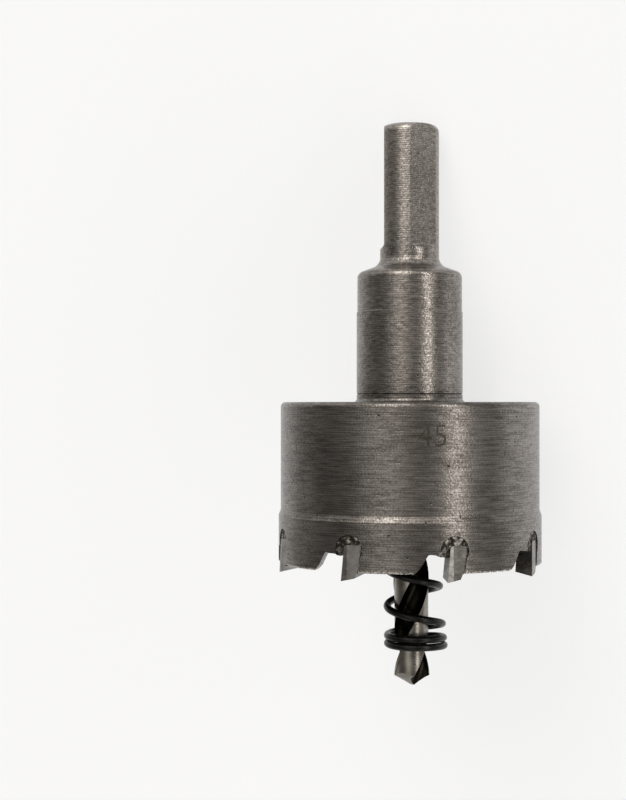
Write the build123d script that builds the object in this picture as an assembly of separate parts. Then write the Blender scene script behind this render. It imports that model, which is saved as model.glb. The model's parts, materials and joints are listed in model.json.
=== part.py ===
from build123d import *
import os
from math import acos, asin, atan2, cos, degrees, hypot, radians, sin, sqrt, tan

# Carbide-tipped hole saw: a cup, a boss and a three-flat shank turned in one piece, with eight
# brazed tips, a pilot drill held by a grub screw, and an ejector spring round the drill.
#
# Everything is first drawn about the saw's own axis: +Z runs from the cup towards the shank,
# Z = 0 is the back face of the cup, and directions round the axis are in degrees from -Y,
# anticlockwise seen from the shank. The whole saw is then laid on its side (see lay_down).

# ---- cup, mm and degrees ----
cut_dia = 45.0           # circle swept by the outer corners of the tips
side_set = 0.25          # how far the tips stand out of the band, on the outside
inner_set = 0.3          # how far they stand into the cup
tip_thick = 3.0          # radial width of a tip, and so of the cut
cup_relief = 0.35        # the cup above the band is smaller by this on the radius
cup_height = 27.1        # back face to rim
band_height = 8.0        # thicker band above the rim
band_chamfer = 1.0       # length of the chamfer between cup and band
floor_thick = 5.0        # wall between the back face and the inside of the cup
floor_fillet = 1.5
back_radius = 0.8        # rounding of the cup's back edge
rim_break = 0.2          # small chamfers on both edges of the rim

# ---- boss and shank, mm and degrees ----
boss_dia = 18.0
boss_height = 21.85      # back face to where the boss's side would meet the sloping shoulder
boss_relief = 0.12       # the upper part of the boss is turned smaller by this on the radius
boss_relief_length = 6.5
shoulder_slope = 20.0
shoulder_radius = 1.2
shank_fillet = 1.9
boss_foot_fillet = 0.6
foot_groove_z = 1.35     # fine turned groove round the foot of the boss
foot_groove_width = 0.3
foot_groove_depth = 0.15
shank_dia = 10.0
shank_top = 47.0         # back face to the end of the shank
shank_end_radius = 1.3
flat_depth = 0.67        # from the shank's surface to each of its flats
flat_length = 21.1       # from the shank's end
flat_runout = 1.0        # corner radius left by the milling cutter
flat_angle = 31.3        # direction of the first flat's normal
flat_count = 3
bench_flat = 1           # which flat the saw rests on, counted from the first

# ---- teeth, mm and degrees ----
tooth_count = 8
first_tooth = 15.5       # direction of the first tip's lower outer corner
tooth_errors = (0.0, 1.8, 0.0, 0.0, 0.0, 0.0, -0.4, 0.5)  # each tip from its even place, brazed by hand
tip_foot = 2.02          # width along the rim at the cutting end
tip_heel = 1.9           # below this height above the edge, the tip's back is ground away
tip_height = 5.75
tip_drop = 1.35          # how far the tips stand below the rim
tip_corner = 0.5         # rounding of the tip's upper corners
rake = 5.0               # how far the rake face leans forward towards the rim
back_lean = 8.0          # the same lean of the tip's back
heel_lean = 23.5         # and of the ground part at its foot
bottom_clearance = 10.0  # cutting edge up towards the trailing side
bottom_bevel = 11.0      # cutting edge up towards the inside
radial_relief = 6.0      # outer face, falling away behind the edge
land_width = 1.0         # behind it, the outer face falls away faster
second_relief = 12.0
side_relief = 1.2        # outer and inner faces, falling away above the edge
seam = 0.12              # braze between a tip and its seat
seat_hole_dia = 4.8      # round hole at the top of each seat
seat_hole_offset = 0.8   # its centre behind the rake face
seat_hole_rise = 3.6     # its centre above the rim
braze_sink = 0.25        # how far the braze lies below the surfaces of the band

# ---- gullets, mm and degrees ----
gullet_height = 3.1      # above the rim, at the flank
gullet_fall = 0.35       # its top comes down by this towards the tip
gullet_width = 3.0       # at its top, on the band's surface
gullet_spread = 1.95     # its slanting flank widens it by this at the rim
gullet_taper = 18.0      # the same flank leans away inwards
gullet_corner = 0.5
gullet_foot = 0.8        # bevel where the flank meets the rim

# ---- pilot drill, mm and degrees ----
drill_dia = 6.0
drill_stand_out = 20.9   # rim to the drill's point
drill_length = 65.0
drill_lead = 34.0        # one turn of a flute
flute_length = 38.0      # point to the end of the flutes
flute_runout = 6.0       # over which their depth fades
web = 1.2                # thickness of the core
flute_radius = 2.1
margin_width = 0.6
margin_relief = 0.12     # body clearance behind the margin
point_angle = 118.0
lip_clearance = 12.0
heel_clearance = 30.0
heel_start = 0.3         # the second facet starts this far behind the centre line
lip_direction = 95.0     # of one lip's outer corner
drill_lean = 0.4         # what its bore allows
drill_fit = 0.1          # radial clearance of the drill in its bore
drill_end_chamfer = 0.5
bore_chamfer = 0.4

# ---- grub screw, mm and degrees ----
screw_dia = 6.0
screw_length = 5.0
screw_z = 11.0           # back face to the screw
screw_direction = 235.0
screw_fit = 0.04         # radial clearance in the tapped hole
screw_gap = 0.08         # between its foot and the flat of the drill, which leans a little
screw_chamfer = 0.5
socket_flats = 3.0
socket_depth = 2.4
drill_flat_depth = 0.35  # flat on the drill's shank under the screw
drill_flat_length = 7.0
seat_gap = 0.03          # clearance where two pieces just touch

# ---- ejector spring, mm and degrees ----
wire_dia = 1.25
spring_dia = 10.8        # outside
spring_pitch = 6.42
closed_gap = 0.05        # between neighbouring closed turns
closed_turns = 1.58      # at the lower end
grip_turns = 1.5         # closed again and wound down on the drill's plain shank
change_turns = 0.5       # over which the pitch changes
spring_stand_out = 14.95 # rim to the underside of the spring
grip_fit = 0.05          # radial clearance of the wound-down turns on the drill
spring_shift = 0.72      # how far its lower end hangs to one side of the drill
spring_tilt = 1.8        # its lower turns stand higher on that side
spring_end = 90.0        # direction of the wire's lower end
points_per_turn = 12

# ---- worked out ----
cut_r = cut_dia / 2
core_r = cut_r - tip_thick
band_r = cut_r - side_set
cup_r = band_r - cup_relief
cup_inner_r = core_r + inner_set
boss_r = boss_dia / 2
shank_r = shank_dia / 2
rim_z = -cup_height
band_z = rim_z + band_height
edge_z = rim_z - tip_drop
gullet_z = rim_z + gullet_height
gullet_low_z = gullet_z - gullet_fall  # top of the gullet at the rake face
heel_z = edge_z + tip_heel
tip_top_z = edge_z + tip_height
seat_hole_z = rim_z + seat_hole_rise
seat_hole_r = seat_hole_dia / 2
drill_r = drill_dia / 2
drill_bore_r = drill_r + drill_fit
point_z = rim_z - drill_stand_out
drill_end_z = point_z + drill_length
drill_pivot_z = (drill_end_z - floor_thick) / 2
point_rise = drill_r / tan(radians(point_angle / 2))
wire_r = wire_dia / 2
past = 1.0                      # how far a cutter runs past the surface that it opens
big = 4 * max(cut_dia, shank_top)  # side of a block that stands for half of space


# ---- shared helpers ----

def turned(corners):
    """Solid turned about Z from a closed outline of (radius, z) corners."""
    return revolve(make_face(Polyline(*[(r, 0, z) for r, z in corners], close=True)), Axis.Z)


def rounded(outline, corners):
    """Round the corners of a turned outline, each given as (radius, z, fillet radius)."""
    for r, z, size in corners:
        nearest = min(outline.vertices(), key=lambda v: hypot(v.X - r, v.Z - z))
        outline = fillet(nearest, size)
    return outline


def towards(direction):
    """Turn about the saw's axis that brings +X to the given direction."""
    return Rotation(0, 0, direction - 90)


def below(origin, normal):
    """Block that fills the space behind a plane."""
    block = Box(big, big, big, align=(Align.CENTER, Align.CENTER, Align.MAX))
    return Plane(origin=origin, z_dir=normal).location * block


def rake_at(z):
    """How far the rake face has leaned back at height z, from its place at the edge."""
    return (z - edge_z) * tan(radians(rake))


def back_at(z):
    """Where the tip's back is at height z, from the rake face's place at the edge."""
    ground = min(z, heel_z) - edge_z
    upper = max(z - heel_z, 0)
    return tip_foot + ground * tan(radians(heel_lean)) + upper * tan(radians(back_lean))


def side_view(*corners):
    """Face in a tooth's own side view, seen from outside: along the rim, and height."""
    plane = Plane(origin=(0, 0, 0), x_dir=(0, 1, 0), z_dir=(1, 0, 0))
    return plane * make_face(Polyline(*corners, close=True))


def through_wall(face):
    """Run a side-view face outwards through the whole wall of the cup."""
    return extrude(Location((core_r - past, 0, 0)) * face, amount=tip_thick + 2 * past)


# ---- cutter body ----

def turned_body():
    """Shank, boss and cup as they leave the lathe."""
    upper_r = boss_r - boss_relief
    relief_z = boss_height - boss_relief_length
    shoulder_z = boss_height + (upper_r - shank_r) * tan(radians(shoulder_slope))
    corners = [
        (0, shank_top),
        (shank_r, shank_top),
        (shank_r, shoulder_z),
        (upper_r, boss_height),
        (upper_r, relief_z),
        (boss_r, relief_z - boss_relief),
        (boss_r, foot_groove_z + foot_groove_width / 2),
        (boss_r - foot_groove_depth, foot_groove_z),
        (boss_r, foot_groove_z - foot_groove_width / 2),
        (boss_r, 0),
        (cup_r, 0),
        (cup_r, band_z + band_chamfer),
        (band_r, band_z),
        (band_r, rim_z + rim_break),
        (band_r - rim_break, rim_z),
        (cup_inner_r + rim_break, rim_z),
        (cup_inner_r, rim_z + rim_break),
        (cup_inner_r, -floor_thick),
        (0, -floor_thick),
    ]
    outline = make_face(Polyline(*[(r, 0, z) for r, z in corners], close=True))
    outline = rounded(outline, [
        (shank_r, shank_top, shank_end_radius),
        (shank_r, shoulder_z, shank_fillet),
        (upper_r, boss_height, shoulder_radius),
        (boss_r, 0, boss_foot_fillet),
        (cup_r, 0, back_radius),
        (cup_inner_r, -floor_thick, floor_fillet),
    ])
    return revolve(outline, Axis.Z)


def drill_bore():
    """Blind bore for the drill's shank, with a drilled bottom and a chamfered mouth."""
    bottom_z = drill_end_z + seat_gap
    return turned([
        (0, -floor_thick - past),
        (drill_bore_r + bore_chamfer + past, -floor_thick - past),
        (drill_bore_r, -floor_thick + bore_chamfer),
        (drill_bore_r, bottom_z),
        (0, bottom_z + drill_bore_r / tan(radians(point_angle / 2))),
    ])


def shank_flats():
    """Milled flats round the shank, each with the cutter's run-out at its lower end."""
    face_r = shank_r - flat_depth
    low = shank_top - flat_length
    outline = Plane.XZ * make_face(Polyline(
        (face_r, shank_top + past),
        (face_r, low),
        (shank_r + past, low),
        (shank_r + past, shank_top + past),
        close=True,
    ))
    outline = rounded(outline, [(face_r, low, flat_runout)])
    cut = extrude(outline, amount=shank_r, both=True)
    return [towards(flat_angle + 360 / flat_count * i) * cut for i in range(flat_count)]


def screw_plane(radius):
    """Plane across the grub screw at a distance from the saw's axis, facing outwards."""
    return Plane(origin=(radius, 0, screw_z), x_dir=(0, 1, 0), z_dir=(1, 0, 0))


def tapped_hole():
    """Cross hole through one side of the boss into the drill's bore."""
    hole = extrude(screw_plane(0) * Circle(screw_dia / 2 + screw_fit), amount=boss_r + past)
    return towards(screw_direction) * hole


def on_band(y, z):
    """Point of the band's surface in a tooth's own frame."""
    return Vector(sqrt(band_r ** 2 - y ** 2), y, z)


def flank(y_top, y_low, z_top, z_low):
    """Space on the gullet's side of a slanting flank that leans away inwards."""
    top = on_band(y_top, z_top)
    down = on_band(y_low, z_low) - top
    inwards = Vector(-cos(radians(gullet_taper)), -sin(radians(gullet_taper)), 0)
    outwards = down.cross(inwards)
    if outwards.Y > 0:
        outwards = -outwards
    return below(top, outwards)


def gullet():
    """Chip gullet in front of one tooth, with a slanting flank that is bevelled at the rim."""
    low = rim_z - past
    wide = 2 * (gullet_width + gullet_spread)
    slot = through_wall(side_view(
        (rake_at(low), low),
        (rake_at(gullet_low_z), gullet_low_z),
        (-gullet_width, gullet_z),
        (-wide, gullet_z),
        (-wide, low),
    ))
    slant = gullet_spread / gullet_height
    slot &= flank(-gullet_width, -gullet_width - gullet_spread, gullet_z, rim_z)
    upper = slot.edges().filter_by(lambda e: abs(e.center().Z - gullet_z) < past / 100)
    slot = fillet(upper.sort_by(Axis.Y)[0], gullet_corner)
    foot = through_wall(side_view(
        (rake_at(low), low),
        (-gullet_width, rim_z + gullet_foot),
        (-wide, rim_z + gullet_foot),
        (-wide, low),
    ))
    start = -gullet_width - gullet_spread + slant * gullet_foot
    foot &= flank(start, start - gullet_foot * (slant + 1) / 1.5, rim_z + gullet_foot, rim_z)
    return [slot, foot]


def tip_gap():
    """Room straight in front of a tip, as far as its own seat stands from its even place."""
    low = rim_z - past
    return through_wall(side_view(
        (rake_at(low), low),
        (rake_at(gullet_low_z), gullet_low_z),
        (-gullet_width / 2, gullet_low_z),
        (-gullet_width / 2, low),
    ))


def tip_side(grow):
    """Side view of a tip, grown all round by the given amount; its foot runs past the edge."""
    low = edge_z - past
    face = side_view(
        (rake_at(low), low),
        (back_at(low), low),
        (back_at(heel_z), heel_z),
        (back_at(tip_top_z), tip_top_z),
        (rake_at(tip_top_z), tip_top_z),
    )
    face = fillet(face.vertices().sort_by(Axis.Z)[-2:], tip_corner)
    return offset(face, grow) if grow else face


def seat():
    """What is cut from the wall for one tip: its own outline, and a round hole at its top."""
    centre = (rake_at(seat_hole_z) + seat_hole_offset, seat_hole_z)
    plane = Plane(origin=(0, *centre), x_dir=(0, 1, 0), z_dir=(1, 0, 0))
    return through_wall(tip_side(seam)) + through_wall(plane * Circle(seat_hole_r))


def tooth_place(i, error=0.0):
    """Turn about the saw's axis that brings a tooth's own frame to its place."""
    return towards(first_tooth + 360 / tooth_count * i + error)


def cutter_body():
    body = turned_body() - drill_bore() - tapped_hole() - shank_flats()
    gullet_cuts = gullet()
    seat_cuts = [seat(), tip_gap()]
    for i in range(tooth_count):
        body -= [tooth_place(i) * cut for cut in gullet_cuts]
        body -= [tooth_place(i, tooth_errors[i]) * cut for cut in seat_cuts]
    return body


# ---- tips and their braze ----

def tip():
    """One carbide tip, ground with relief on its outer, inner and lower faces."""
    edge = (cut_r, 0, edge_z)
    side = tan(radians(side_relief))
    fall = tan(radians(radial_relief))
    land = (cut_r - land_width * fall, land_width, edge_z)
    solid = through_wall(tip_side(0))
    solid &= below(edge, (1, fall, side))
    solid &= below(land, (1, tan(radians(second_relief)), side))
    solid &= below((core_r, 0, edge_z), (-1, 0, side))
    solid &= below(edge, (-tan(radians(bottom_bevel)), tan(radians(bottom_clearance)), -1))
    return solid


def braze(one_tip):
    """Filler between a tip and its seat, a little below the surfaces of the band."""
    top_z = seat_hole_z + seat_hole_r + past
    low = rim_z - past
    ring = turned([
        (cup_inner_r + braze_sink, rim_z),
        (band_r - braze_sink, rim_z),
        (band_r - braze_sink, top_z),
        (cup_inner_r + braze_sink, top_z),
    ])
    behind = through_wall(side_view(
        (rake_at(low), low),
        (rake_at(gullet_low_z), gullet_low_z),
        (-seat_hole_dia, gullet_low_z),
        (-seat_hole_dia, top_z),
        (tip_foot + seat_hole_dia, top_z),
        (tip_foot + seat_hole_dia, low),
    ))
    return (seat() & ring & behind) - one_tip


# ---- pilot drill and grub screw ----

def drill_section():
    """Cross-section of the fluted part, at the height of the lips' outer corners."""
    centre_r = web / 2 + flute_radius
    half_flute = degrees(acos(
        (drill_r ** 2 + centre_r ** 2 - flute_radius ** 2) / (2 * drill_r * centre_r)
    ))
    lip = degrees(asin(-web / 2 / drill_r))
    margin_end = lip + degrees(margin_width / drill_r)
    heel = lip - 2 * half_flute + 180
    section = Circle(drill_r)
    for side in (0, 180):
        land = Polyline(
            (0, 0),
            *[(2 * drill_r * cos(radians(a)), 2 * drill_r * sin(radians(a)))
              for a in (margin_end, (margin_end + heel) / 2, heel + half_flute / 2)],
            close=True,
        )
        relief = (Circle(drill_r + past) - Circle(drill_r - margin_relief)) & make_face(land)
        flute = Rotation(0, 0, lip - half_flute) * Pos(centre_r, 0) * Circle(flute_radius)
        section -= [Rotation(0, 0, side) * relief, Rotation(0, 0, side) * flute]
    return section


def drill_point():
    """Space above the four ground facets of the point, with the point at the origin."""
    slope = 1 / tan(radians(point_angle / 2))
    lip = tan(radians(lip_clearance))
    heel = tan(radians(heel_clearance))
    behind = (0, heel_start, heel_start * lip)
    half = below((0, 0, 0), (slope, lip, -1)) & below(behind, (slope, heel, -1))
    return half & Rotation(0, 0, 180) * half


def pilot_drill():
    """Twist drill with its point down, its shank in the boss and a flat for the screw."""
    twist = -360 * point_rise / drill_lead
    foot = Rotation(0, 0, twist) * drill_section()
    flutes = Solid.extrude_linear_with_rotation(
        foot.face(), (0, 0, 0), (0, 0, flute_length), 360 * flute_length / drill_lead
    )
    flutes &= drill_point()
    shank = turned([
        (0, flute_length - flute_runout),
        (web / 2, flute_length - flute_runout),
        (drill_r, flute_length),
        (drill_r, drill_length - drill_end_chamfer),
        (drill_r - drill_end_chamfer, drill_length),
        (0, drill_length),
    ])
    drill = Rotation(0, 0, lip_direction - 90 - degrees(asin(-web / 2 / drill_r))) * (flutes + shank)
    drill = Pos(0, 0, point_z) * drill
    flat = Pos(drill_r - drill_flat_depth, 0, screw_z) * Box(
        drill_dia, 2 * drill_dia, drill_flat_length, align=(Align.MIN, Align.CENTER, Align.CENTER)
    )
    return drill - towards(screw_direction) * flat


def grub_screw():
    """Socket set screw, seated on the flat of the drill's shank."""
    foot_r = drill_r - drill_flat_depth + screw_gap
    screw = extrude(screw_plane(foot_r) * Circle(screw_dia / 2), amount=screw_length)
    screw = chamfer(screw.edges().filter_by(GeomType.CIRCLE), screw_chamfer)
    mouth = screw_plane(foot_r + screw_length)
    key = mouth * RegularPolygon(socket_flats / 2, 6, major_radius=False)
    screw -= extrude(key, amount=-socket_depth)
    return towards(screw_direction) * screw


# ---- ejector spring ----

def spring_path():
    """Centre line of the wire, from its lower end up to the floor of the cup.

    Turns are closed at the lower end and open above, and narrow all the way up until the last
    ones grip the drill. Their pitch changes smoothly over change_turns.
    """
    closed_pitch = wire_dia + closed_gap
    low_z = rim_z - spring_stand_out + wire_r
    high_z = -floor_thick - seat_gap - wire_r
    coil_r = spring_dia / 2 - wire_r
    grip_r = drill_r + grip_fit + wire_r
    closed_rise = closed_pitch * (closed_turns + grip_turns)
    open_rise = spring_pitch * change_turns + closed_pitch * change_turns
    open_turns = (high_z - low_z - closed_rise - open_rise) / spring_pitch
    turns = closed_turns + grip_turns + 2 * change_turns + open_turns
    grip_start = turns - grip_turns - change_turns
    grip_z = high_z - closed_pitch * grip_turns

    def eased(x):
        x = min(max(x, 0), 1)
        return x * x * (3 - 2 * x)

    steps = round(turns * points_per_turn)
    points = []
    z = low_z
    for i in range(steps + 1):
        t = turns * i / steps
        opened = eased((t - closed_turns) / change_turns)
        gripped = eased((t - grip_start) / change_turns)
        if i:
            z += (closed_pitch + (spring_pitch - closed_pitch) * (opened - gripped)) * turns / steps
        up = (z - low_z) / (grip_z - low_z)
        r = coil_r + (grip_r - coil_r) * min(up, 1)
        loose = max(1 - up, 0) ** 2
        a = radians(spring_end - 90 - 360 * t)
        x = r * cos(a) + spring_shift * loose
        points.append((x, r * sin(a), z + x * tan(radians(spring_tilt)) * loose))
    return Spline(*points)


def ejector_spring():
    path = spring_path()
    wire = Plane(origin=path @ 0, z_dir=path % 0) * Circle(wire_r)
    return sweep(wire, path=path)


# ---- assembly ----

def lean(solid):
    """The drill and the spring on it lean together about the middle of the bore."""
    turn = Rotation(0, -drill_lean, 0)
    return Pos(0, 0, drill_pivot_z) * turn * Pos(0, 0, -drill_pivot_z) * solid


def rest():
    """Turn and slope that bring the saw to rest on a bench, with its shank towards +Y.

    It tips onto its shank, with one of the flats underneath, and touches the bench with the
    back edge of the cup and the end of that flat.
    """
    flat_r = shank_r - flat_depth
    flat_end_z = shank_top - shank_end_radius + sqrt(
        shank_end_radius ** 2 - max(shank_end_radius - flat_depth, 0) ** 2
    )
    along = flat_end_z + back_radius
    drop = cup_r - back_radius - flat_r
    slope = atan2(drop, along) + asin(back_radius / hypot(along, drop))
    roll = 180 - flat_angle - 360 / flat_count * bench_flat
    return Rotation(-90 - degrees(slope), 0, 0) * Rotation(0, 0, roll)


def lay_down(pieces):
    """Bring every piece to rest and set the middle of the saw's box over the origin."""
    laid = {name: rest() * solid for name, solid in pieces.items()}
    boxes = [solid.bounding_box() for solid in laid.values()]
    low = [min(axis) for axis in zip(*[tuple(box.min) for box in boxes])]
    high = [max(axis) for axis in zip(*[tuple(box.max) for box in boxes])]
    shift = Pos(-(low[0] + high[0]) / 2, -(low[1] + high[1]) / 2, -low[2])
    print("moved by", shift.position)
    return {name: shift * solid for name, solid in laid.items()}


def build():
    pieces = {"cutter_body": cutter_body()}
    one_tip = tip()
    one_braze = braze(one_tip)
    for i in range(tooth_count):
        turn = tooth_place(i, tooth_errors[i])
        pieces[f"tip_{i + 1}"] = turn * one_tip
        pieces[f"braze_{i + 1}"] = turn * one_braze
    pieces["pilot_drill"] = lean(pilot_drill())
    pieces["grub_screw"] = grub_screw()
    pieces["ejector_spring"] = lean(ejector_spring())
    return lay_down(pieces)


os.makedirs("parts", exist_ok=True)
for name, solid in build().items():
    export_step(solid, f"parts/{name}.step")
    print(name, round(solid.volume, 2))
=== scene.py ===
import json
import math

import bpy
from mathutils import Matrix, Vector

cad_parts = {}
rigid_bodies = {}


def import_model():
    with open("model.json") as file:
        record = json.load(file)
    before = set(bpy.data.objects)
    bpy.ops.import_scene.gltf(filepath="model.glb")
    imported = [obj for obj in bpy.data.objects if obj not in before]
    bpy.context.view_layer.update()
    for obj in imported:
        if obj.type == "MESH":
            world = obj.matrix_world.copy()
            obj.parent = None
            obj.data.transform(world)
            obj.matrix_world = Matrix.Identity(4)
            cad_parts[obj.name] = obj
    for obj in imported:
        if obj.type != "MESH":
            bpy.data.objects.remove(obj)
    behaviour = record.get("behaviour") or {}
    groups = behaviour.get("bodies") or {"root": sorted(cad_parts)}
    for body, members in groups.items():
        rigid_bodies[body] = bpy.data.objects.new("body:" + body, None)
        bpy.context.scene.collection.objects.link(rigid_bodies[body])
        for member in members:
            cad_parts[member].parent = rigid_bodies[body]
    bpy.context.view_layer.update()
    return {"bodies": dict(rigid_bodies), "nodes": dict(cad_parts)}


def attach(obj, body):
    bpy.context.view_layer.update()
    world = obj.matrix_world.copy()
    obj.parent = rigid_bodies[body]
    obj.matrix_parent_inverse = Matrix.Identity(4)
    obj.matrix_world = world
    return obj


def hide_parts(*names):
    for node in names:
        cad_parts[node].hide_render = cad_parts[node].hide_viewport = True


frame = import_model()
nodes = frame["nodes"]
print("frame loaded:", len(nodes), "nodes")

saw = {
    "origin": (0, -0.000158338, 0.0203117),  # middle of the cup's back face, in metres
    "slope": 20.3016,                        # shank end down, in degrees
    "roll": 28.7,
    "toothCount": 8,
}
mergeGap = 0.000002      # m, points closer than this are one point
noiseRange = (0.3, 0.7)  # most of a noise texture's values lie between these

# saw frame: +Z from the cup to the shank, directions from -Y, anticlockwise seen from the shank
sawSlope = Matrix.Rotation(math.radians(-90 - saw["slope"]), 3, "X")
sawTurn = sawSlope @ Matrix.Rotation(math.radians(saw["roll"]), 3, "Z")
sawOrigin = Vector(saw["origin"])
axisUp = sawTurn @ Vector((0, 0, 1))


def fromSaw(x, y, z):  # millimetres in the saw's own frame to metres in the row's
    return sawOrigin + sawTurn @ (Vector((x, y, z)) / 1000)


def outwardAt(degrees):  # unit vector out from the axis, in the saw's own frame
    turn = math.radians(degrees)
    return Vector((math.sin(turn), -math.cos(turn), 0))


def linear(hexColour):  # sRGB hex to the linear colour that a shader socket takes
    parts = [int(hexColour[i:i + 2], 16) / 255 for i in (1, 3, 5)]
    return [p / 12.92 if p <= 0.04045 else ((p + 0.055) / 1.055) ** 2.4 for p in parts] + [1]


def addNode(tree, kind, inputs=None, **settings):  # an input is a value or another node's output
    node = tree.nodes.new(kind)
    for name, value in settings.items():
        setattr(node, name, value)
    for socket, given in (inputs or {}).items():
        if isinstance(given, bpy.types.NodeSocket):
            tree.links.new(given, node.inputs[socket])
        else:
            node.inputs[socket].default_value = given
    return node


def addMath(tree, operation, *inputs):
    return addNode(tree, "ShaderNodeMath", dict(enumerate(inputs)), operation=operation).outputs[0]


def addVector(tree, operation, *inputs, output="Vector"):
    node = addNode(tree, "ShaderNodeVectorMath", dict(enumerate(inputs)), operation=operation)
    return node.outputs[output]


def addNoise(tree, place, scale, detail, roughness=0.5):
    inputs = {"Vector": place, "Scale": scale, "Detail": detail, "Roughness": roughness}
    return addNode(tree, "ShaderNodeTexNoise", inputs).outputs["Fac"]


def remap(tree, source, low, high, toLow=0.0, toHigh=1.0, **settings):
    inputs = {"Value": source, "From Min": low, "From Max": high, "To Min": toLow, "To Max": toHigh}
    return addNode(tree, "ShaderNodeMapRange", inputs, **settings).outputs[0]


def mixColours(tree, share, first, second, **settings):
    inputs = {0: share, 6: first, 7: second}
    return addNode(tree, "ShaderNodeMix", inputs, data_type="RGBA", **settings).outputs[2]


def addBump(tree, height, depth, strength=1.0, **others):  # depth in mm
    inputs = {"Height": height, "Distance": depth / 1000, "Strength": strength, **others}
    return addNode(tree, "ShaderNodeBump", inputs).outputs[0]


def addRamp(tree, share, *stops):
    node = addNode(tree, "ShaderNodeValToRGB", {"Fac": share})
    elements = node.color_ramp.elements
    while len(elements) < len(stops):
        elements.new(1)
    for element, (place, colour) in zip(elements, stops):
        element.position = place
        element.color = colour if isinstance(colour, list) else (colour, colour, colour, 1)
    return node


def newMaterial(name):
    material = bpy.data.materials.new(name)
    material.use_nodes = True
    material.node_tree.nodes.clear()
    return material, material.node_tree


def finishMetal(tree, colour, roughness, normal, metallic=1.0, **others):
    inputs = {"Base Color": colour, "Roughness": roughness, "Normal": normal, "Metallic": metallic}
    shader = addNode(tree, "ShaderNodeBsdfPrincipled", inputs | others)
    addNode(tree, "ShaderNodeOutputMaterial", {"Surface": shader.outputs[0]})


def sawCoordinates(tree):  # object coordinates turned into the saw's own frame, in metres
    inverse = sawTurn.transposed()
    return addNode(tree, "ShaderNodeMapping", {
        "Vector": addNode(tree, "ShaderNodeTexCoord").outputs["Object"],
        "Location": -(inverse @ sawOrigin),
        "Rotation": inverse.to_euler("XYZ"),
    }).outputs["Vector"]


def splitRound(tree, place):  # the direction out from the axis, the distance from it, and the height
    parts = addNode(tree, "ShaderNodeSeparateXYZ", {"Vector": place}).outputs
    across = addNode(tree, "ShaderNodeCombineXYZ", {"X": parts["X"], "Y": parts["Y"]}).outputs[0]
    radius = addVector(tree, "LENGTH", across, output="Value")
    return addVector(tree, "NORMALIZE", across), radius, parts["Z"]


def stretched(tree, place, length, pitch):  # lines across the axis: their length and pitch in mm
    scale = (1000 / length, 1000 / length, 1000 / pitch)
    return addNode(tree, "ShaderNodeMapping", {"Vector": place, "Scale": scale}).outputs[0]


# Low-alloy steel bar, turned dry and left as machined, darkened by a film of oil, and darker towards the
# cup than the shank.
# The eye gets a warm dark grey with even turning grooves, broken streaks, a fine glitter of grain
# and a few small pits.
turned = {
    "steel": "#b0a9a3",
    "stain": "#6d6761",
    "wear": "#d8d2c8",            # bare metal on the rim's edges
    "pit": "#2a2622",
    "streakPitch": 0.36,          # mm between turning streaks
    "streakLength": 3.2,          # mm along the cut before a streak breaks up, on the cup's wall
    "wallRadius": 22,             # mm
    "faceShare": 0.6,             # the flat faces were cut with a coarser feed
    "groovePitch": 0.36,          # mm between the tool's even grooves
    "grooveShare": 0.09,          # how strongly they show under the streaks
    "streakShare": 1.1,
    "grainSize": 0.15,            # mm from a light grain to a dark one
    "cloudSize": 9.0,             # mm
    "cloudShare": 0.45,
    "cleanRange": (0.98, 1.62),   # streaks, grain and cloud added up: full stain, and clean steel
    "pitSize": 2.6,               # mm between the small pits
    "pitEdge": (0.04, 0.09),      # share of that distance: the pit's floor and its edge
    "rim": -27.1,                 # mm
    "wearReach": 0.45,            # mm that the wear reaches above the rim
    "wearPatches": (0.42, 0.62),  # grain values where it is whole, and where it is rubbed bare
    "wearFull": 0.1,              # mm above the rim where the wear is complete
    "roughness": (0.22, 0.44),
    "anisotropy": 0.4,
    "streakDepth": 0.05,          # mm
    "grainDepth": 0.026,
    "pitDepth": 0.08,
    "toneAlongSaw": [                # mm along the saw, and how light the steel is there
        (-27.0, 0.49), (0.0, 0.54), (4.0, 0.67), (20.0, 0.69), (30.0, 0.92),
    ],
}


def turningMarks(tree, outwards, radius, height):  # broken streaks over even grooves
    # distance along the profile: height on the sides, radius on the faces
    profile = addMath(tree, "MULTIPLY_ADD", radius, turned["faceShare"], height)
    streakPlace = addNode(tree, "ShaderNodeVectorMath", {
        0: outwards, "Scale": turned["wallRadius"] / turned["streakLength"],
    }, operation="SCALE")
    around = addNode(tree, "ShaderNodeSeparateXYZ", {"Vector": streakPlace.outputs[0]}).outputs
    streaks = addNoise(tree, addNode(tree, "ShaderNodeCombineXYZ", {
        "X": around["X"], "Y": around["Y"],
        "Z": addMath(tree, "MULTIPLY", profile, 1000 / turned["streakPitch"]),
    }).outputs[0], scale=1.0, detail=2.0, roughness=0.55)
    grooveTurns = addMath(tree, "MULTIPLY", profile, 2000 * math.pi / turned["groovePitch"])
    grooves = addMath(tree, "SINE", grooveTurns)
    return addMath(tree, "MULTIPLY_ADD", grooves, turned["grooveShare"], streaks)


def acrossTheCut(tree):  # the grooves run round the axis, so the gloss spreads across them
    place = addNode(tree, "ShaderNodeTexCoord").outputs["Object"]
    groove = addVector(tree, "CROSS_PRODUCT", axisUp, addVector(tree, "SUBTRACT", place, sawOrigin))
    normal = addNode(tree, "ShaderNodeNewGeometry").outputs["Normal"]
    return addVector(tree, "CROSS_PRODUCT", normal, groove)


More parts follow.
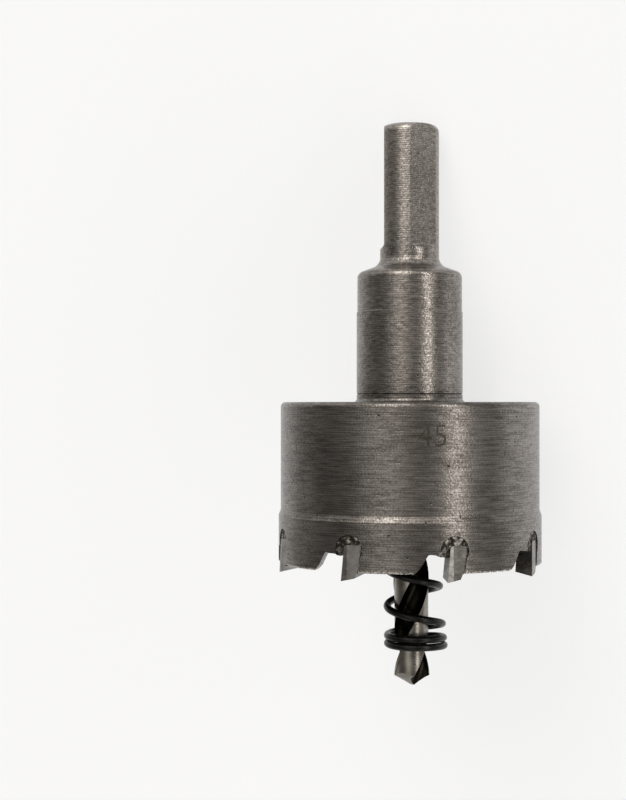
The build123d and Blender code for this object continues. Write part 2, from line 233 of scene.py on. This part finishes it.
def turnedSteel():
    material, tree = newMaterial("turned_alloy_steel")
    place = sawCoordinates(tree)
    outwards, radius, height = splitRound(tree, place)
    marks = turningMarks(tree, outwards, radius, height)
    grain = addNoise(tree, place, 500 / turned["grainSize"], detail=1.0, roughness=0.6)
    cloud = addNoise(tree, place, 1000 / turned["cloudSize"], detail=3.0, roughness=0.55)
    pits = addNode(tree, "ShaderNodeTexVoronoi", {
        "Vector": place, "Scale": 1000 / turned["pitSize"], "Randomness": 1.0,
    })
    outsidePits = remap(tree, pits.outputs["Distance"], *turned["pitEdge"])

    # how clean the metal is: mostly the turning marks, then the grain and a faint cloud of stain
    clean = addMath(tree, "MULTIPLY_ADD", marks, turned["streakShare"], grain)
    clean = addMath(tree, "MULTIPLY_ADD", cloud, turned["cloudShare"], clean)
    cleanShare = remap(tree, clean, *turned["cleanRange"])
    steel = mixColours(tree, cleanShare, linear(turned["stain"]), linear(turned["steel"]))
    steel = mixColours(tree, outsidePits, linear(turned["pit"]), steel)

    # the steel is darker towards the cup and lighter towards the shank
    bottom = turned["toneAlongSaw"][0][0]
    top = turned["toneAlongSaw"][-1][0]
    stops = [((mark - bottom) / (top - bottom), share) for mark, share in turned["toneAlongSaw"]]
    alongSawTone = addRamp(tree, remap(tree, height, bottom / 1000, top / 1000), *stops)
    steel = mixColours(tree, 1.0, steel, alongSawTone.outputs["Color"], blend_type="MULTIPLY")

    # the rim's edges are rubbed bare in places
    wearTop = turned["rim"] + turned["wearReach"]
    nearRim = remap(tree, height, wearTop / 1000, (turned["rim"] + turned["wearFull"]) / 1000)
    rimWear = addMath(tree, "MULTIPLY", nearRim, remap(tree, grain, *turned["wearPatches"]))
    steel = mixColours(tree, rimWear, steel, linear(turned["wear"]))

    smooth, rough = turned["roughness"]
    bump = addBump(tree, marks, turned["streakDepth"])
    bump = addBump(tree, grain, turned["grainDepth"], Normal=bump)
    bump = addBump(tree, outsidePits, turned["pitDepth"], strength=0.6, Normal=bump)
    finishMetal(tree, steel, remap(tree, grain, *noiseRange, rough, smooth), bump,
                Anisotropic=turned["anisotropy"], Tangent=acrossTheCut(tree))
    return material


# Tungsten carbide with a cobalt binder, diamond-ground: a cool even grey, with fine grinding lines
# and a soft sheen.
carbide = {
    "colour": "#7f7c78",
    "dark": "#605d59",
    "patches": (0.35, 0.65),  # cloud values of the dark and the light patches
    "cloudSize": 1.5,        # mm
    "lineLength": 1.2,
    "linePitch": 0.15,
    "lineDepth": 0.03,
    "roughness": (0.22, 0.36),
}


def sinteredCarbide():
    material, tree = newMaterial("ground_sintered_carbide")
    place = sawCoordinates(tree)
    lines = addNoise(tree, stretched(tree, place, carbide["lineLength"], carbide["linePitch"]), 1.0, 2.0)
    cloud = addNoise(tree, place, 1000 / carbide["cloudSize"], detail=3.0)
    darkest, lightest = carbide["patches"]
    ramp = addRamp(tree, cloud, (darkest, linear(carbide["dark"])), (lightest, linear(carbide["colour"])))
    finishMetal(tree, ramp.outputs["Color"], remap(tree, lines, *noiseRange, *carbide["roughness"]),
                addBump(tree, lines, carbide["lineDepth"], strength=0.2))
    return material


# Silver-copper brazing filler under baked flux: dark brown to black, lumpy, with bright specks
# where the metal shows. Its near-black colour is partly painted shade, standing in for the shade in the
# seam round each tip.
braze = {
    "metal": "#97918a",
    # near black: the flux's colour, and also painted shade for the seam round each tip
    "fluxAndSeamShade": "#26221e",
    "bare": (0.5, 0.68),   # speck values where the flux ends, and where the metal is bare
    "smoothing": (0.4, 0.7),  # speck values of the roughest and the smoothest places
    "roughness": (0.3, 0.65),
    "speckSize": 0.35,     # mm
    "speckDepth": 0.1,
    "swell": 0.12,         # mm that the filler stands out of its seat all round
    "lumpSize": 0.9,       # mm
    "lumpHeight": 0.36,
    "voxel": 0.11,
}


def silverBraze():
    material, tree = newMaterial("silver_braze_and_painted_seam_shade")
    specks = addNoise(tree, sawCoordinates(tree), 500 / braze["speckSize"], detail=3.0, roughness=0.6)
    bare = remap(tree, specks, *braze["bare"])
    smooth, rough = braze["roughness"]
    # the near-black also paints the shade in the seam round each tip
    finishMetal(tree, mixColours(tree, bare, linear(braze["fluxAndSeamShade"]), linear(braze["metal"])),
                remap(tree, specks, *braze["smoothing"], rough, smooth),
                addBump(tree, specks, braze["speckDepth"], strength=0.8), metallic=0.8)
    return material


# M2 tool steel, black oxide in its flutes from hardening, ground bright on its lands and point.
# The eye gets bright stripes winding up a nearly black drill, with a dull gloss in the flutes.
drill = {
    "ground": "#8a857e",
    "groundDark": "#625d56",
    "oxide": "#16140f",
    "landRadius": 2.86,     # mm, everything further out is ground
    "landEdge": 0.03,
    "lean": 0.4,            # degrees, in its bore
    "pivot": 6.0,           # mm above the cup's back face
    "pointFacing": -0.72,   # the facets of the point face down more than this
    "patches": (0.3, 0.62),  # cloud values of the dark and the bright patches
    "cloudSize": 3.0,       # mm
    "lineLength": 2.5,
    "linePitch": 0.2,
    "lineDepth": 0.03,
    "roughness": (0.2, 0.36),
}


def groundShare(tree, place):  # 1 on the lands and on the facets of the point
    back = Matrix.Rotation(math.radians(drill["lean"]), 3, "Y")
    pivot = Vector((0, 0, drill["pivot"] / 1000))
    own = addNode(tree, "ShaderNodeMapping", {
        "Vector": place, "Location": pivot - back @ pivot, "Rotation": back.to_euler("XYZ"),
    })
    radius = splitRound(tree, own.outputs[0])[1]
    edge = drill["landRadius"] - drill["landEdge"]
    land = remap(tree, radius, edge / 1000, drill["landRadius"] / 1000)
    normal = addNode(tree, "ShaderNodeNewGeometry").outputs["True Normal"]
    facing = addVector(tree, "DOT_PRODUCT", normal, axisUp, output="Value")
    return addMath(tree, "MAXIMUM", land, addMath(tree, "LESS_THAN", facing, drill["pointFacing"]))


def highSpeedSteel():
    material, tree = newMaterial("ground_high_speed_steel")
    place = sawCoordinates(tree)
    lines = addNoise(tree, stretched(tree, place, drill["lineLength"], drill["linePitch"]), 1.0, 2.0)
    cloud = addNoise(tree, place, 1000 / drill["cloudSize"], detail=3.0)
    bright = mixColours(tree, remap(tree, cloud, *drill["patches"]),
                        linear(drill["groundDark"]), linear(drill["ground"]))
    colour = mixColours(tree, groundShare(tree, place), linear(drill["oxide"]), bright)
    finishMetal(tree, colour, remap(tree, lines, *noiseRange, *drill["roughness"]),
                addBump(tree, lines, drill["lineDepth"], strength=0.15))
    return material


# Hot-blackened and oiled steel: a thin magnetite film, near black, glossy where the oil lies
# and greyer where it is rubbed.
oxide = {
    "film": "#0a0908",
    "rubbed": "#35312c",
    "rubbing": (0.62, 0.85),  # cloud values where the film is whole, and where it is rubbed
    "cloudSize": 1.8,      # mm
    "grainSize": 0.2,
    "grainDepth": 0.03,
    "roughness": (0.2, 0.42),
    "shine": 0.3,          # of the oiled film, where 0.5 is usual
}


def blackOxide(name, wear):
    material, tree = newMaterial(name)
    place = sawCoordinates(tree)
    cloud = addNoise(tree, place, 1000 / oxide["cloudSize"], detail=4.0, roughness=0.65)
    grain = addNoise(tree, place, 1000 / oxide["grainSize"], detail=2.0)
    whole, bare = [mark - wear for mark in oxide["rubbing"]]
    ramp = addRamp(tree, cloud, (whole, linear(oxide["film"])), (bare, linear(oxide["rubbed"])))
    finishMetal(tree, ramp.outputs["Color"], remap(tree, cloud, *noiseRange, *oxide["roughness"]),
                addBump(tree, grain, oxide["grainDepth"], strength=0.15),
                metallic=0.3, **{"Specular IOR Level": oxide["shine"]})
    return material


def dress(names, material):
    for name in names:
        node = nodes[name]
        node.data.materials.clear()
        node.data.materials.append(material)


bodyName = next(iter(frame["bodies"]))
tipNames = [f"tip_{i + 1}" for i in range(saw["toothCount"])]
brazeNames = [f"braze_{i + 1}" for i in range(saw["toothCount"])]
dress(["cutter_body"], turnedSteel())
dress(tipNames, sinteredCarbide())
dress(brazeNames, silverBraze())
dress(["pilot_drill"], highSpeedSteel())
dress(["ejector_spring"], blackOxide("oiled_black_spring_wire", wear=0.0))
dress(["grub_screw"], blackOxide("black_oxide_screw_steel", wear=0.06))
print("materials made")


def copyOf(node, name):  # its own merged mesh, ready for modifiers
    piece = nodes[node].copy()
    piece.data = nodes[node].data.copy()
    piece.name = name
    bpy.context.collection.objects.link(piece)
    bpy.ops.object.select_all(action="DESELECT")
    piece.select_set(True)
    bpy.context.view_layer.objects.active = piece
    bpy.ops.object.mode_set(mode="EDIT")
    bpy.ops.mesh.select_all(action="SELECT")
    bpy.ops.mesh.remove_doubles(threshold=mergeGap)
    bpy.ops.mesh.normals_make_consistent(inside=False)
    bpy.ops.object.mode_set(mode="OBJECT")
    return piece


def finishWith(piece, kind, **settings):  # add one modifier and apply it
    modifier = piece.modifiers.new(kind.lower(), kind)
    for name, value in settings.items():
        setattr(modifier, name, value)
    bpy.ops.object.modifier_apply(modifier=modifier.name)


# the saw's diameter in mm, marked on the cup in plain strokes, as a thin sheet on the wall whose
# near-black is painted shade for stamped grooves
etched = {
    "words": "45",
    "size": 5.1,          # mm
    "thinner": 0.08,      # mm off each stroke's edges
    "direction": 9.7,     # degrees round the saw
    "height": -5.5,       # mm along it
    "radius": 22.5,       # mm from the axis, before the digits are laid on the wall
    "above": 0.012,       # mm
    # painted shade: near black, standing in for the shade inside stamped grooves
    "colour": "#1e1b18",
    "worn": "#5a544c",
    "grainSize": 0.3,     # mm
    "grainDepth": 0.05,
}


def etchedDigitsPaintedShade():  # dull, and darker than the turned steel beside it: painted shade that stands in for the shade inside stamped grooves
    material, tree = newMaterial("etched_digits_painted_groove_shade")
    grain = addNoise(tree, sawCoordinates(tree), 1000 / etched["grainSize"], detail=2.0)
    colour = mixColours(tree, grain, linear(etched["colour"]), linear(etched["worn"]))
    finishMetal(tree, colour, 0.5, addBump(tree, grain, etched["grainDepth"], strength=0.5))
    return material


facing = outwardAt(etched["direction"])
etchOut = sawTurn @ facing
etchPlace = fromSaw(*(facing * etched["radius"] + Vector((0, 0, etched["height"]))))
etchTurn = Matrix((axisUp.cross(etchOut), axisUp, etchOut)).transposed()
bpy.ops.object.select_all(action="DESELECT")
bpy.ops.object.text_add()
digits = bpy.context.object
digits.name = "size_digits_painted_groove_shade"
digits.data.body = etched["words"]
digits.data.size = etched["size"] / 1000
digits.data.offset = -etched["thinner"] / 1000
digits.data.align_x = "CENTER"
digits.data.align_y = "CENTER"
digits.data.resolution_u = 8
digits.matrix_world = Matrix.Translation(etchPlace) @ etchTurn.to_4x4()
bpy.ops.object.convert(target="MESH")
bpy.ops.object.transform_apply(location=True, rotation=True, scale=True)
bpy.ops.object.mode_set(mode="EDIT")
bpy.ops.mesh.select_all(action="SELECT")
bpy.ops.mesh.remove_doubles(threshold=mergeGap)
bpy.ops.mesh.quads_convert_to_tris()
bpy.ops.mesh.subdivide(number_cuts=5)
bpy.ops.object.mode_set(mode="OBJECT")
finishWith(digits, "SHRINKWRAP", target=nodes["cutter_body"], wrap_method="NEAREST_SURFACEPOINT",
           wrap_mode="ABOVE_SURFACE", offset=etched["above"] / 1000)
finishWith(digits, "SOLIDIFY", thickness=etched["above"] / 500, offset=-1)
digits.data.materials.append(etchedDigitsPaintedShade())
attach(digits, bodyName)
print("size etched:", len(digits.data.polygons), "faces")

# the filler swells out of each seat in small lumps, over its edges and the tip's
lumps = bpy.data.textures.new("brazeLumps", "CLOUDS")
lumps.noise_scale = braze["lumpSize"] / 1000
lumps.noise_depth = 2
for i, node in enumerate(brazeNames):
    fillet = copyOf(node, f"braze_fillet_{i + 1}")
    finishWith(fillet, "DISPLACE", strength=braze["swell"] / 1000, mid_level=0)
    finishWith(fillet, "REMESH", mode="VOXEL", voxel_size=braze["voxel"] / 1000)
    finishWith(fillet, "DISPLACE", texture=lumps, strength=braze["lumpHeight"] / 1000, mid_level=0.5)
    finishWith(fillet, "SMOOTH", iterations=2, factor=0.5)
    bpy.ops.object.shade_smooth()
    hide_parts(node)
    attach(fillet, bodyName)
print("braze made")

# The light comes in soft strips that run along the saw, so the turned sides show as clear bands.
studio = {
    "floor": "#f6f6f6",
    "floorRadius": 6.0,        # m
    "floorSink": 0.00002,      # m below the saw's rest
    "floorLift": 0.72,         # share of plain white in the floor as it is seen
    "lightColour": "#fffdf9",
    "strips": [                # degrees round the saw from the camera's side, and brightness
        (-180, 0.6), (-122, 0.75), (-110, 0.58), (-98, 0.4), (-88, 0.27), (-77, 0.2),
        (-66, 0.19), (-56, 0.21), (-46, 0.32), (-34, 0.85), (-22, 1.12), (-12, 0.95),
        (-2, 0.48), (8, 0.26), (18, 0.24), (28, 0.36), (35, 1.6), (41, 4.8),
        (47, 2.0), (53, 0.6), (60, 0.38), (80, 0.4), (110, 0.7), (180, 0.6),
    ],
    "brightest": 6.0,          # brightness at the top of the strips' ramp
    "towardsShank": 5.5,       # how much brighter the light is from the shank's end
    "shankEnd": (0.25, 0.62),  # cosine to the axis where that starts, and where it is full
    "horizon": 0.42,           # brightness where the sky meets the floor
    "horizonTop": 0.2,         # sine of the angle above it where the strips are full
    "backdrop": 0.93,          # what the camera sees behind the floor
    "cardHeight": 0.0003,      # m above the saw's rest
    "cardBrightest": 2.0,      # brightness at the top of the cards' ramps
    "cards": {                 # m: from x, to x, from y, to y, and brightness along x
        "white_card": (0.024, 0.09, -0.15, 0.006, [(0.0, 1.1), (0.25, 1.3), (0.6, 1.15), (1.0, 0.6)]),
        "grey_card": (0.09, 0.6, -0.3, 0.018, [(0.0, 0.6), (0.08, 0.4), (0.7, 0.36), (1.0, 0.45)]),
        "grey_card_by_shank": (0.03, 0.6, 0.018, 0.3, [(0.0, 0.4), (0.1, 0.2), (0.7, 0.2), (1.0, 0.35)]),
    },
}
centre = fromSaw(0, 0, -0.5)  # on the axis, level with the camera
towardsCamera = sawTurn @ outwardAt(0)
pictureRight = axisUp.cross(towardsCamera)


def paperFloor():  # the floor takes shadows, and is seen with some plain white mixed in
    material, tree = newMaterial("white_paper_floor")
    rays = addNode(tree, "ShaderNodeLightPath").outputs
    seen = addMath(tree, "MAXIMUM", rays["Is Camera Ray"], rays["Is Glossy Ray"])
    seen = addMath(tree, "MAXIMUM", seen, rays["Is Transmission Ray"])
    share = addMath(tree, "MULTIPLY", seen, studio["floorLift"])
    paper = addNode(tree, "ShaderNodeBsdfDiffuse", {"Color": linear(studio["floor"])})
    plainWhite = addNode(tree, "ShaderNodeEmission", {"Strength": 1.0})
    mixed = addNode(tree, "ShaderNodeMixShader", {0: share, 1: paper.outputs[0], 2: plainWhite.outputs[0]})
    addNode(tree, "ShaderNodeOutputMaterial", {"Surface": mixed.outputs[0]})
    return material


def glowingCard(name, left, right, stops):
    material, tree = newMaterial(name)
    place = addNode(tree, "ShaderNodeTexCoord").outputs["Object"]
    along = addNode(tree, "ShaderNodeSeparateXYZ", {"Vector": place}).outputs["X"]
    shares = [(mark, value / studio["cardBrightest"]) for mark, value in stops]
    ramp = addRamp(tree, remap(tree, along, left, right), *shares)
    glow = addNode(tree, "ShaderNodeEmission", {
        "Color": ramp.outputs["Color"], "Strength": studio["cardBrightest"],
    })
    addNode(tree, "ShaderNodeOutputMaterial", {"Surface": glow.outputs[0]})
    return material


def lightWorld(tree):
    direction = addNode(tree, "ShaderNodeTexCoord").outputs["Generated"]
    toRight = addVector(tree, "DOT_PRODUCT", direction, pictureRight, output="Value")
    toFront = addVector(tree, "DOT_PRODUCT", direction, towardsCamera, output="Value")
    toShank = addVector(tree, "DOT_PRODUCT", direction, axisUp, output="Value")
    turnShare = remap(tree, addMath(tree, "ARCTAN2", toRight, toFront), -math.pi, math.pi)
    stops = [((degrees + 180) / 360, value / studio["brightest"]) for degrees, value in studio["strips"]]
    strips = addRamp(tree, turnShare, *stops)
    strips.color_ramp.interpolation = "CARDINAL"
    stripLight = addMath(tree, "MULTIPLY", strips.outputs["Color"], studio["brightest"])
    endLight = remap(tree, toShank, *studio["shankEnd"], 1.0, studio["towardsShank"],
                     interpolation_type="SMOOTHSTEP")
    skyLight = addMath(tree, "MULTIPLY", stripLight, endLight)
    height = addNode(tree, "ShaderNodeSeparateXYZ", {"Vector": direction}).outputs["Z"]
    aboveHorizon = remap(tree, height, 0.0, studio["horizonTop"], interpolation_type="SMOOTHSTEP")
    strength = addNode(tree, "ShaderNodeMix", {0: aboveHorizon, 2: studio["horizon"], 3: skyLight},
                       data_type="FLOAT")
    # the camera sees a plain backdrop, and the object sees the lights
    byCamera = addNode(tree, "ShaderNodeLightPath").outputs["Is Camera Ray"]
    shown = addNode(tree, "ShaderNodeMix", {0: byCamera, 2: strength.outputs[0], 3: studio["backdrop"]},
                    data_type="FLOAT")
    light = addNode(tree, "ShaderNodeBackground", {
        "Color": linear(studio["lightColour"]), "Strength": shown.outputs[0],
    })
    addNode(tree, "ShaderNodeOutputWorld", {"Surface": light.outputs[0]})


bpy.ops.object.select_all(action="DESELECT")
bpy.ops.mesh.primitive_circle_add(vertices=96, radius=studio["floorRadius"], fill_type="NGON",
                                  location=(0, 0, -studio["floorSink"]))
floor = bpy.context.object
floor.name = "floor"
bpy.ops.object.transform_apply(location=True, rotation=True, scale=True)
floor.data.materials.append(paperFloor())

world = bpy.data.worlds.new("studio")
bpy.context.scene.world = world
world.use_nodes = True
world.node_tree.nodes.clear()
lightWorld(world.node_tree)

# cards on the floor to the right, white near the saw and grey further off, show in gloss only
for name, (left, right, near, far, stops) in studio["cards"].items():
    bpy.ops.object.select_all(action="DESELECT")
    middle = ((left + right) / 2, (near + far) / 2, studio["cardHeight"])
    bpy.ops.mesh.primitive_plane_add(size=1, location=middle)
    card = bpy.context.object
    card.name = name
    card.scale = (right - left, far - near, 1)
    bpy.ops.object.transform_apply(location=True, rotation=True, scale=True)
    card.visible_camera = False
    card.visible_diffuse = False
    card.visible_shadow = False
    card.visible_transmission = False
    card.data.materials.append(glowingCard(name, left, right, stops))
print("studio made")

shot = {
    "distance": 0.285,   # m from the saw's axis
    "left": 0.01645,     # m that the picture's middle lies left of the axis
    "up": 0.00085,       # m that it lies above the centre
    "lens": 75.3,        # mm, like the sensor's width
    "sensorWidth": 36,
    "clip": (0.01, 20),
}
target = centre - pictureRight * shot["left"] + axisUp * shot["up"]
place = centre + towardsCamera * shot["distance"]
back = (place - target).normalized()
right = axisUp.cross(back).normalized()
cameraTurn = Matrix((right, back.cross(right), back)).transposed()
camera = bpy.data.objects.new("camera", bpy.data.cameras.new("camera"))
bpy.context.collection.objects.link(camera)
camera.data.lens = shot["lens"]
camera.data.sensor_width = shot["sensorWidth"]
camera.data.clip_start, camera.data.clip_end = shot["clip"]
camera.matrix_world = Matrix.Translation(place) @ cameraTurn.to_4x4()
bpy.context.scene.camera = camera
print("camera placed")

bpy.context.scene.view_settings.view_transform = "Standard"
